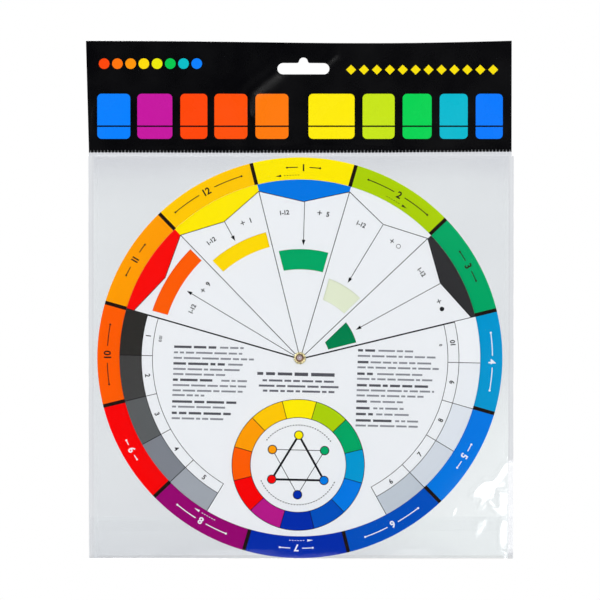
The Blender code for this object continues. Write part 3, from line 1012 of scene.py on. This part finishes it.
def headerArtwork():
    # a plain strip of colour chips and small marks
    shapes = []
    high, low = (headerSpot(0, y)[1] for y in header["chipRows"])
    gap, (line, width) = header["chipGap"], header["chipLine"]
    for number, (start, end, colour) in enumerate(header["chips"]):
        paint = ink(f"chip{number + 1:02d}", colour, "filmPrint")
        left, right = headerSpot(start + gap, 0)[0], headerSpot(end - gap, 0)[0]
        shapes.append((paint, roundedBox(left, right, low, high, header["chipCorner"])))
        shapes.append(("headerBlack", bar((left - 1, low + line), (right + 1, low + line), width)))
    first, pitch, row = header["dotRow"]
    for number, colour in enumerate(header["dots"]):
        spot = headerSpot(first + pitch * number, row)
        shapes.append((ink(f"dot{number + 1}", colour, "filmPrint"), disc(header["dot"], spot, 12)))
    ink("chipYellow", (250, 226, 0), "filmPrint")
    first, pitch, row = header["diamondRow"]
    for number in range(12):
        (x, y), half = headerSpot(first + pitch * number, row), header["diamond"]
        shapes.append(("chipYellow", [(x, y + half), (x - half, y), (x, y - half), (x + half, y)]))
    return shapes


def headerPlace(way):
    def place(u, v, side):
        off = headerWave(way * u, v) - way * (header["near"] if side else header["far"])
        return way * u * mm, off * mm, v * mm
    return place


def makeHeader():
    ink("headerBlack", (2, 2, 4), "filmPrint")
    grid = []
    for across, up in header["grids"]:
        grid += [(float(u), float(v)) for u in np.arange(*across) for v in np.arange(*up)]
    sheets = (("headerFront", "header_front", 1, "header_print"),
              ("headerBack", "header_back", -1, "header_print_back"))
    for name, node, way, slot in sheets:  # the back sheet is cut mirrored and bears no artwork
        artwork = headerArtwork() if way > 0 else []
        shapes = [("headerBlack", headerOutline()), *artwork, (None, slotOutline())]
        cut = cutPrint(moved(shapes, lambda u, v: (way * u, v)), [(way * u, v) for u, v in grid])
        sheet = sheetFrom(name, cut, headerPlace(way), "headerBlack")
        smoothed(sheet, 40)
        dress(sheet, "bag", node, slot=slot)


# Film: grids of points closed into thin shells.
bag = {
    "centre": -1.35, "halfInner": 120.3, "halfWidth": 123.2, "top": -57.6, "bottom": -293.5,
    "seamLift": 0.1, "edgeLift": 0.6, "crownLift": 1.92, "edgeReach": 0.7, "crownReach": 28.0,
    "film": 0.1, "overlap": 0.1, "sideHold": 0.5, "footHold": 0.6,
    "slackLeft": 76, "slackTop": -232,  # the slack folds lie right of and below these
    # soft dents: number and lengths of their waves, height, where they are cut off, fade at the edge
    "dents": (7, (26, 70)), "dentHeight": 0.10, "dentFloor": 0.8, "dentFade": 6,
}
filmEdge = bag["halfInner"] - bag["overlap"]  # the films end just within the side welds
filmLeft, filmRight = bag["centre"] - filmEdge, bag["centre"] + filmEdge

films = {
    # tint, haze low and high, roughness low and high, least share of gloss, clouds per metre
    "front": ((1, 1, 1), (0, 0.0015), (0.07, 0.12), 0.034, 9.0),
    # the back film's grey tint is painted shade, greying the white backdrop seen through the bag
    "back": ((0.837, 0.847, 0.874), (0, 0.004), (0.09, 0.16), 0.034, 14.0),
    "seam": ((0.879, 0.889, 0.905), (0, 0.02), (0.14, 0.26), 0.034, 60.0),
    # the seam beside the slack folds is lighter and hazier, painted light where the film there shows
    # glare
    "slackSeam": ((0.945, 0.950, 0.960), (0.06, 0.22), (0.20, 0.34), 0.034, 120.0),
    "weldLine": ((0.858, 0.868, 0.884), (0, 0.02), (0.14, 0.26), 0.034, 60.0),
    "flap": ((0.990, 0.992, 0.995), (0, 0.004), (0.06, 0.14), 0.020, 8.0),
    "fold": ((0.955, 0.953, 0.950), (0, 0.006), (0.10, 0.18), 0.020, 8.0),
    "adhesive": ((0.998, 0.998, 0.999), (0, 0.01), (0.25, 0.40), 0.004, 90.0),
    "crimp": ((0.842, 0.852, 0.870), (0, 0.03), (0.10, 0.20), 0.034, 70.0),
    "crimpTick": ((0.375, 0.380, 0.390), (0, 0.01), (0.20, 0.30), 0.020, 70.0),
    "crimpFoot": ((0.846, 0.856, 0.876), (0, 0.01), (0.30, 0.45), 0.010, 70.0),
}
filmTraits = ("tint", "haze", "roughness", "mirror", "cloudScale")
filmExtras = {
    # spots as (place, reach in metres, gain)
    "front": {"rougher": ((0.109, 0, -0.264), (0.019, 0.036), 0.10)},
    "back": {
        # painted shade and light on the back film: bands of (height in mm, share of the lighter tint)
        # that make its grey darker at the fold and under the weld, painted light spots near the corners,
        # and clouds that add to it
        "litTint": (0.973, 0.996, 1.0), "clouds": 0.07,
        "shadeBands": ((-293.5, 0.15), (-291.6, 0.35), (-286.6, 0.40), (-277.8, 0.49), (-269.8, 0.55),
                  (-268.6, 0.42), (-229.7, 0.48), (-177, 0.48), (-111, 0.56), (-87, 0.60),
                  (-72.7, 0.47), (-62, 0.20), (-57.6, 0.15)),
        "corners": (((0.117, 0, -0.274), (0.050, 0.100), 0.46),
                    ((0.104, 0, -0.290), (0.004, 0.034), 0.22),
                    ((0.085, 0, -0.068), (0.006, 0.036), 0.12)),
    },
}
grazing = 0.75  # share of gloss at a grazing look
# next to a weld the film is dulled by its heat
hem = {"front": 1.4, "back": 2.6, "top": 1.6, "slackFrom": -233, "slackLeft": 88, "shadedSlope": 0.13,
       "seam": -0.6, "look": {"mirror": 0.004, "roughness": (0.35, 0.50), "rougher": None}}


def clearFilm(name, look):
    # tinted light through it, a trace of haze, and gloss that grows towards grazing
    inks[name], tree = newFinish(name)
    tree.nodes.clear()
    place = addNode(tree, "ShaderNodeTexCoord").outputs["Object"]
    clouds = cloudy(tree, look["cloudScale"], 5)

    def spread(low, high):
        return ranged(tree, clouds, *cloudSpan, low, high)

    def nearness(spot, reach, gain):
        away = addNode(tree, "ShaderNodeVectorMath", {0: place, 1: spot}, operation="DISTANCE")
        return ranged(tree, away.outputs["Value"], *reach, gain, 0)

    tint = (*look["tint"], 1)
    if "shadeBands" in look:
        # painted shade: the grey tint darkens in bands towards the fold and the weld, and painted light
        # spots lighten it near the corners
        height = addNode(tree, "ShaderNodeSeparateXYZ", {0: place}).outputs["Z"]
        climb = ranged(tree, height, bag["bottom"] * mm, bag["top"] * mm, 0, 1)
        shadeBands = addNode(tree, "ShaderNodeValToRGB", {"Fac": climb})
        stops = shadeBands.color_ramp.elements
        for number, (level, share) in enumerate(look["shadeBands"]):
            spot = (level - bag["bottom"]) / (bag["top"] - bag["bottom"])
            stop = stops[number] if number < 2 else stops.new(spot)
            stop.position, stop.color = spot, (share, share, share, 1)
        total = shadeBands.outputs["Color"]
        for corner in look["corners"]:
            total = calculated(tree, "ADD", total, nearness(*corner))
        total = calculated(tree, "ADD", total, spread(-look["clouds"], look["clouds"]), clamp=True)
        tint = mixedColour(tree, total, look["tint"], look["litTint"])
    through = addNode(tree, "ShaderNodeBsdfTransparent", {"Color": tint})
    haze = addNode(tree, "ShaderNodeBsdfDiffuse", {"Color": (0.86, 0.88, 0.92, 1)})
    body = mixedShader(tree, spread(*look["haze"]), through, haze)
    rough = spread(*look["roughness"])
    if look.get("rougher"):
        rough = calculated(tree, "ADD", rough, nearness(*look["rougher"]))
    gloss = addNode(tree, "ShaderNodeBsdfGlossy", {"Color": white, "Roughness": rough})
    slant = addNode(tree, "ShaderNodeLayerWeight", {"Blend": 0.5}).outputs["Facing"]
    share = ranged(tree, calculated(tree, "POWER", slant, 5), 0, 1, look["mirror"], grazing)
    film = mixedShader(tree, share, body, gloss)
    addNode(tree, "ShaderNodeOutputMaterial", {"Surface": film.outputs[0]})


def rise(distance, reach):
    return 1 - np.exp(-np.maximum(distance, 0) / reach)


def faded(distance, reach):
    return np.clip(distance / reach, 0, 1)


def filmLift(xx, zz):
    # how far the film stands off the bag's middle plane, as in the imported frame
    side = bag["halfInner"] - np.abs(xx - bag["centre"])
    top, bottom = bag["top"] - zz, zz - bag["bottom"]
    fold = 0.9 + 0.1 * rise(bottom, bag["edgeReach"])
    edge = rise(side, bag["edgeReach"]) * rise(top, bag["edgeReach"]) * fold
    reach = bag["crownReach"]
    crown = rise(side, reach) * rise(top, reach) * rise(bottom, reach)
    peak = rise(bag["halfInner"], reach) * rise((bag["top"] - bag["bottom"]) / 2, reach) ** 2
    return bag["seamLift"] + bag["edgeLift"] * edge + (bag["crownLift"] - bag["edgeLift"]) * crown / peak


def stations(*spans):
    # places along a line from (start, end, step) spans
    places = []
    for start, end, step in spans:
        count = max(1, round(abs(end - start) / step))
        places += [start + (end - start) * k / count for k in range(count)]
    return np.array([*places, spans[-1][1]])


def shell(name, near, far, paint):
    # two grids of points, near being the one further towards the front, closed at their rims
    count = near[..., 0].size
    index = np.arange(count).reshape(near.shape[:2])
    quads = np.stack([index[:-1, :-1], index[:-1, 1:], index[1:, 1:], index[1:, :-1]], -1).reshape(-1, 4)
    ring = [*index[0, :], *index[1:, -1], *index[-1, -2::-1], *index[-2:0:-1, 0]]
    rim = [(q, p, p + count, q + count) for p, q in zip(ring, ring[1:] + ring[:1])]
    points = np.concatenate([near.reshape(-1, 3), far.reshape(-1, 3)]) * mm
    faces = np.concatenate([quads, quads[:, ::-1] + count, rim])
    piece = meshPiece(name, points.tolist(), faces.tolist())
    smoothed(piece)
    coat(piece, paint)
    piece.visible_shadow = False  # light comes through clear film
    return piece


def sheetShell(name, xx, zz, near, far, paint):
    return shell(name, np.stack([xx, near, zz], -1), np.stack([xx, far, zz], -1), paint)


def ripples(xx, zz, seed, waves, size):
    # a sum of slanted waves
    rng = random.Random(seed)
    total = np.zeros_like(xx)
    for _ in range(waves):
        length = rng.uniform(*size)
        angle = rng.uniform(0, math.pi)
        along = xx * math.cos(angle) + zz * math.sin(angle)
        total += np.sin(along * math.tau / length + rng.uniform(0, math.tau))
    return total / math.sqrt(waves)


slackFolds = {
    # outline of each fold of slack film, how hard it leans and how soft its edge is
    "diagonal": (((96.7, -257.0), (97.4, -253.8), (100.0, -250.1), (105.1, -246.3), (108.8, -246.7),
                  (111.5, -244.4), (113.4, -240.2), (116.2, -236.5), (119.4, -234.8), (122.1, -235.0),
                  (122.1, -242.0), (119.8, -244.0), (116.2, -248.2), (113.9, -251.0), (111.1, -253.8),
                  (108.8, -257.5), (106.4, -260.8), (103.7, -263.6), (101.8, -264.1), (101.4, -261.3),
                  (102.3, -258.9), (98.6, -258.7)), 1.0, 1.6),
    "crossing": (((106.9, -260.3), (107.9, -259.6), (110.5, -262.2), (112.7, -262.8), (112.5, -257.3),
                  (112.5, -252.8), (121.7, -253.8), (120.8, -267.2), (116.2, -268.8), (112.5, -268.3),
                  (109.2, -264.9)), 1.0, 1.2),
    "upright": (((114.6, -269.2), (121.5, -270.5), (121.5, -277.6), (120.8, -283.6), (115.2, -289.4),
                 (113.0, -284.8), (112.5, -280.0), (113.0, -274.3)), 1.0, 1.1),
    "streak": (((88.6, -263.2), (87.7, -267.6), (86.2, -268.6), (86.8, -265.0)), 1.0, 0.7),
    "pale": (((101.2, -270.2), (105.9, -269.9), (105.9, -273.7), (102.4, -278.4), (99.8, -280.7),
              (98.9, -276.6), (99.5, -273.1)), 0.5, 1.5),
    "corner": (((111.8, -287.2), (114.5, -287.6), (121.5, -290.9), (121.5, -292.9), (117.4, -292.2)),
               1.0, 0.8),
}
slackLean = (-0.110, 0.063)  # slope of the folds across and up


def insideDepth(xx, zz, outline):
    # distance to the outline, more than zero inside it
    points = np.array(outline)
    nearest, inside = np.full(xx.shape, np.inf), np.zeros(xx.shape, bool)
    for (ax, az), (bx, bz) in zip(points, np.roll(points, -1, axis=0)):
        dx, dz = bx - ax, bz - az
        along = np.clip(((xx - ax) * dx + (zz - az) * dz) / (dx * dx + dz * dz), 0, 1)
        nearest = np.minimum(nearest, np.hypot(xx - ax - along * dx, zz - az - along * dz))
        inside ^= ((az > zz) != (bz > zz)) & (xx < dx * (zz - az) / (dz or 1) + ax)
    return np.where(inside, nearest, -nearest)


def folded(xx, zz, lift):
    # slack film leans over in flat folds that catch the light
    raised = lift.copy()
    for outline, strength, soft in slackFolds.values():
        depth = insideDepth(xx, zz, outline)
        plane = (slackLean[0] * xx + slackLean[1] * zz) * strength
        plane += (lift - plane)[depth > -soft].max()
        share = faded(depth + soft, 2 * soft)
        raised = np.maximum(raised, lift + share * share * (3 - 2 * share) * (plane - lift))
    return raised


def dented(xx, zz, seed, foot, footFade):
    # lift of a film with soft dents that fade towards its edges
    dents = np.maximum(ripples(xx, zz, seed, *bag["dents"]), -bag["dentFloor"]) + bag["dentFloor"]
    reach = bag["dentFade"]
    fade = faded(filmEdge - np.abs(xx - bag["centre"]), reach) * faded(bag["top"] - zz, reach)
    return filmLift(xx, zz) + bag["dentHeight"] * dents * (fade * faded(zz - foot, footFade))


def dulledHem(piece, width, paint, slackBelow=None):
    # the faces near the welds take the dull finish, but not where slack folds reach the edge
    number = len(piece.data.materials)
    coat(piece, paint)
    for face in piece.data.polygons:
        x, z = face.center.x / mm, face.center.z / mm
        side = bag["halfInner"] - abs(x - bag["centre"])
        slack = slackBelow is not None and x > 0 and z < slackBelow
        # the side of a slack fold that rises to the right lies in its own shade
        slope = face.normal.x / (face.normal.y or 1)
        rises = slack and x > hem["slackLeft"] and slope > hem["shadedSlope"]
        if rises or (hem["seam"] < side < width and not slack) or bag["top"] - z < hem["top"]:
            face.material_index = number


def filmLook(name):
    return {**dict(zip(filmTraits, films[name])), **filmExtras.get(name, {})}


def makeFinishes():
    for name in films:
        clearFilm(name + "Film", filmLook(name))
    for name in ("front", "back", "flap"):
        look = filmLook(name)
        tone = (1 - look["mirror"]) / (1 - hem["look"]["mirror"])
        dulled = {part: [c * tone for c in look[part]] for part in ("tint", "litTint") if part in look}
        clearFilm(name + "Hem", {**look, **hem["look"], **dulled})


def makeFilms():
    left, right, top, bottom = filmLeft, filmRight, bag["top"], bag["bottom"]
    # close steps at the welds and over the slack folds at the lower right
    slack, level = bag["slackLeft"], bag["slackTop"]
    xs = stations((left, left + 3, 0.5), (left + 3, slack, 1.9), (slack, right - 1, 0.6),
                  (right - 1, right, 0.25))
    zs = stations((bottom, bottom + 2, 0.4), (bottom + 2, level, 0.6), (level, top - 3, 1.9),
                  (top - 3, top, 0.5))
    xx, zz = np.meshgrid(xs, zs)
    lift = dented(xx, zz, 5, bottom, bag["dentFade"])
    hold = faded(filmEdge - np.abs(xx - bag["centre"]), bag["sideHold"])
    hold *= faded(zz - bottom, bag["footHold"])
    lift += (folded(xx, zz, lift) - lift) * hold
    front = sheetShell("frontFilm", xx, zz, -(lift + bag["film"]), -lift, "frontFilm")
    dulledHem(front, hem["front"], "frontHem", hem["slackFrom"])
    dress(front, "bag", "front_film", slot="clear_film")

    xs = stations((left, left + 3, 0.6), (left + 3, right - 3, 2.6), (right - 3, right, 0.6))
    zs = stations((bottom, bottom + 3, 0.6), (bottom + 3, top - 3, 2.6), (top - 3, top, 0.6))
    xx, zz = np.meshgrid(xs, zs)
    lift = dented(xx, zz, 9, -266, 8)  # no dents behind the flap
    back = sheetShell("backFilm", xx, zz, lift, lift + bag["film"], "backFilm")
    dulledHem(back, hem["back"], "backHem")
    dress(back, "bag", "back_film", slot="clear_film_back")


seams = {
    "half": 0.1, "inner": 120.2, "line": 1.05, "wander": 0.12, "wave": 0.05,
    "columns": (0, 0.05, 0.12, 0.20, 0.28, 0.36, 0.5, 0.65, 0.82, 1.0),
    "bead": 0.06, "beadAt": 0.24, "beadHalf": 0.09, "beadBehind": 0.4,
    "lean": 0.10, "leanFrom": -290.5, "leanTo": -236, "leanFade": 2,
}


def makeSeams():
    # welded side strips with a raised line; the right one leans back beside the slack folds
    zs = stations((bag["bottom"], bag["slackTop"], 0.8), (bag["slackTop"], bag["top"], 1.6))
    for name, node, way, seed in (("leftSeam", "left_weld", -1, 3), ("rightSeam", "right_weld", 1, 4)):
        tt, zz = np.meshgrid(seams["columns"], zs)
        wander = seams["wander"] * np.sin(zz / 17 + seed) * np.sin(zz / 5.3) * tt
        across = (bag["halfWidth"] - seams["inner"]) * tt
        xx = bag["centre"] + way * (seams["inner"] + across - np.abs(wander))
        bead = seams["bead"] * np.exp(-(((tt - seams["beadAt"]) / seams["beadHalf"]) ** 2))
        wave = seams["wave"] * np.sin(zz / 9 + seed) * tt
        if way > 0:
            fade = seams["leanFade"]
            ends = faded(zz - seams["leanFrom"], fade) * faded(seams["leanTo"] - zz, fade)
            wave = wave * (1 - ends) + ends * seams["lean"] * across
            bead = bead * (1 - ends)
        near, far = -(seams["half"] + bead) + wave, seams["half"] + bead * seams["beadBehind"] + wave
        grids = [grid[:, ::way] for grid in (xx, zz, near, far)]
        seam = sheetShell(name, *grids, "seamFilm")
        coat(seam, "weldLineFilm", "slackSeamFilm")
        for face in seam.data.polygons:
            # painted light: the right seam's stretch beside the slack folds takes the lighter, hazier
            # film
            if way > 0 and seams["leanFrom"] < face.center.z / mm < seams["leanTo"]:
                face.material_index = 2
            elif abs(face.center.x / mm - bag["centre"]) < seams["inner"] + seams["line"]:
                face.material_index = 1
        dress(seam, "bag", node, slot="welded_film")


crimp = {
    "top": -53.35, "upper": -53.85, "black": -55.51, "foot": -56.9, "bottom": -57.6,
    "lower": (-57.25, -56.9, -56.4, -55.9), "row": 0.30, "rows": 5, "column": 0.25,
    "pitch": 2.0, "ridge": 0.34, "sharp": 2.5, "half": 0.1,
    # how far the black's lower edge stands above its mean level, from left to right
    "edge": ((-118, -0.05), (-81, -0.12), (-53, -0.20), (-25, -0.25), (3, -0.24), (21, -0.21),
             (40, -0.15), (58, -0.01), (68, 0.09), (86, 0.20), (105, 0.37), (121, 0.41)),
    # share of the ridges' height by level
    "depth": ((-57.6, 0), (-57.2, 0.2), (-56.2, 0.7), (-55.2, 0.8), (-54.4, 0.5), (-53.7, 0.12),
              (-53.35, 0)),
    "bites": (4, 4, 5), "biteHalf": 0.125,  # how far a ridge bites into the black, and how wide
}


def crimpEdge(x):
    return np.interp(x, *zip(*crimp["edge"]))


def makeCrimp():
    # the header's weld, pressed into upright ridges: black print above, clear film below
    left, width = header["left"], header["right"] - header["left"]
    black, row = crimp["black"], crimp["row"]
    blackRows = [black + row * step for step in range(crimp["rows"] + 1)]
    zs = np.array([crimp["bottom"], *crimp["lower"], *blackRows, crimp["upper"], crimp["top"]])
    xx, zz = np.meshgrid(stations((left, header["right"], crimp["column"])), zs)
    count = round(width / crimp["pitch"])
    phase = (xx - left) / width * count * math.tau
    depth = np.interp(zz, *zip(*crimp["depth"]))
    wave = crimp["ridge"] * depth * np.power(0.5 - 0.5 * np.cos(phase), crimp["sharp"])
    levels = (crimp["bottom"], black, black + 2 * row, crimp["top"])
    zz = zz + crimpEdge(xx) * np.interp(zz, levels, (0, 1, 1, 0))
    strip = sheetShell("crimpStrip", xx, zz, -crimp["half"] - wave, crimp["half"] - wave, "crimpFilm")
    coat(strip, "headerBlack", "crimpFootFilm", "crimpTickFilm")
    rng = random.Random(8)
    bites = [rng.choice(crimp["bites"]) for _ in range(count + 1)]
    for face in strip.data.polygons:
        x, z = face.center.x / mm, face.center.z / mm
        turn = (x - left) / width * count
        bite = bites[int(turn)] if abs(turn % 1 - 0.5) < crimp["biteHalf"] else 0
        above = (z - crimpEdge(x) - black) / row
        if above > bite:
            face.material_index = 1
        elif above > 1:
            face.material_index = 3
        elif z < crimp["foot"]:
            face.material_index = 2
    dress(strip, "bag", "weld_band", slot="crimped_film")


flap = {
    "left": -123.95, "right": 121.25, "column": 2.4, "floor": -293.8, "foot": -293.6, "fold": -291.9,
    "top": -269.1, "offset": 0.45, "sheet": 0.1, "front": -0.74, "ripple": 0.05, "bend": 0.1, "turns": 9,
    "stripTop": -271.6, "stripBottom": -277.6, "stripOffset": 0.2, "stripThick": 0.15,
}


def makeFlap():
    xs = stations((flap["left"], flap["right"], flap["column"]))
    zs = stations((flap["foot"], flap["fold"], 0.5), (flap["fold"], flap["top"], 1.6))
    xx, zz = np.meshgrid(xs, zs)
    lift = filmLift(np.clip(xx, filmLeft, filmRight), np.maximum(zz, bag["bottom"])) + flap["offset"]
    lift += flap["ripple"] * (1 + ripples(xx, zz, 14, 5, (18, 50))) * faded(zz - flap["foot"], 5)
    sheet = sheetShell("closingFlap", xx, zz, lift, lift + flap["sheet"], "flapFilm")
    coat(sheet, "foldFilm")
    for face in sheet.data.polygons:
        face.material_index = 1 if face.center.z < flap["fold"] * mm else 0
    dulledHem(sheet, hem["back"], "flapHem")
    dress(sheet, "flap", "closing_flap", slot="flap_film")

    ends = stations((filmLeft + bag["overlap"], filmRight - bag["overlap"], flap["column"]))
    xx, zz = np.meshgrid(ends, stations((flap["stripBottom"], flap["stripTop"], 1.0)))
    lift = filmLift(xx, zz) + flap["stripOffset"]
    strip = sheetShell("adhesiveStrip", xx, zz, lift, lift + flap["stripThick"], "adhesiveFilm")
    dress(strip, "flap", "adhesive_strip", slot="adhesive")

    # the fold that closes the bag below, bent round its bottom edge
    within = np.clip(xs, filmLeft, filmRight)
    back = filmLift(within, np.full_like(xs, bag["bottom"])) + flap["offset"] + flap["sheet"]
    xx, turn = np.meshgrid(xs, np.linspace(0, math.pi, flap["turns"]))
    yy = flap["front"] + (back - flap["front"]) * (0.5 - 0.5 * np.cos(turn))
    outer = np.stack([xx, yy, flap["floor"] + flap["bend"] - flap["bend"] * np.sin(turn)], -1)
    crease = shell("flapCrease", outer + [0, 0, flap["sheet"]], outer, "foldFilm")
    dress(crease, "flap", "flap_crease", slot="flap_film")


makeCamera()
makeWorld()
makeStudio()
print("camera and studio set")
makeBoard()
print("board printed")
makeDial()
makeRear()
makeEyelet()
print("dials printed")
makeHeader()
print("header cut")
makeFinishes()
makeFilms()
makeSeams()
makeCrimp()
makeFlap()
print("film laid")
